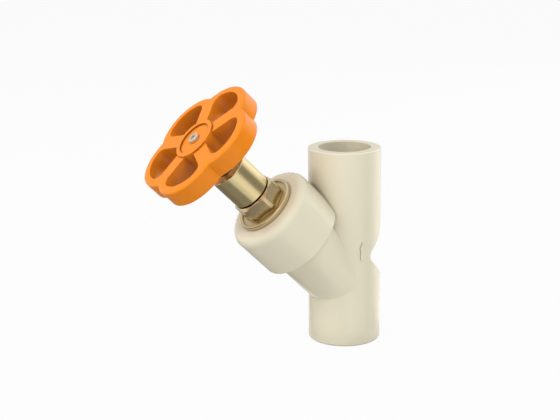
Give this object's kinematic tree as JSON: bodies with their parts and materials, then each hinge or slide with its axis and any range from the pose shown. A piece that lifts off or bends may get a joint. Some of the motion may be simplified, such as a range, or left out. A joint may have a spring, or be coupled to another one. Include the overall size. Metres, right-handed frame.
{
  "type": "y-pattern stop valve",
  "caption": "Plastic pipe stop valve with an angled branch, brass bonnet and sleeve, and a lobed handwheel that lifts a sliding disc off its seat.",
  "frame": {"origin": "centre of the inlet socket's mouth", "axes": "+Z along the run towards the outlet socket; the branch and the handwheel lean towards -X at 45 degrees to the run; -Y is the side with the flow arrow"},
  "size_m": [0.1148, 0.0614, 0.1281],
  "materials": {
    "body_plastic": "satin cream moulding",
    "wheel_plastic": "satin orange moulding",
    "brass": "polished",
    "steel": "bright",
    "rubber": "matte",
    "washer_plastic": "matte white"
  },
  "bodies": {
    "housing": {"valve_body": "body_plastic", "brass_insert": "brass", "insert_o_ring": "rubber", "seat_ring": "brass", "bonnet": "brass", "bonnet_gasket": "rubber", "gland_nut": "brass", "gland_o_ring": "rubber", "spindle_sleeve": "brass", "lower_thrust_washer": "washer_plastic", "upper_thrust_washer": "washer_plastic"},
    "wheel_and_spindle": {"handwheel": "wheel_plastic", "wheel_bush": "brass", "wheel_screw": "steel", "spindle": "brass", "spindle_o_rings": "rubber"},
    "disc": {"disc_carrier": "brass", "carrier_o_ring": "rubber", "seat_washer": "rubber", "washer_retainer": "brass", "retainer_nut": "brass"}
  },
  "joints": [
    {"name": "handwheel_turn", "type": "hinge", "parent": "housing", "child": "wheel_and_spindle", "pos_m": [0, 0, 0.0289], "axis": [-0.7071, 0, 0.7071], "range_deg": [0, 1350]},
    {"name": "disc_lift", "type": "slide", "parent": "housing", "child": "disc", "axis": [-0.7071, 0, 0.7071], "range_m": [0, 0.0075]}
  ],
  "couplings": [
    {"joint": "disc_lift", "follows": "handwheel_turn", "m_per_rad": 0.0003183}
  ]
}
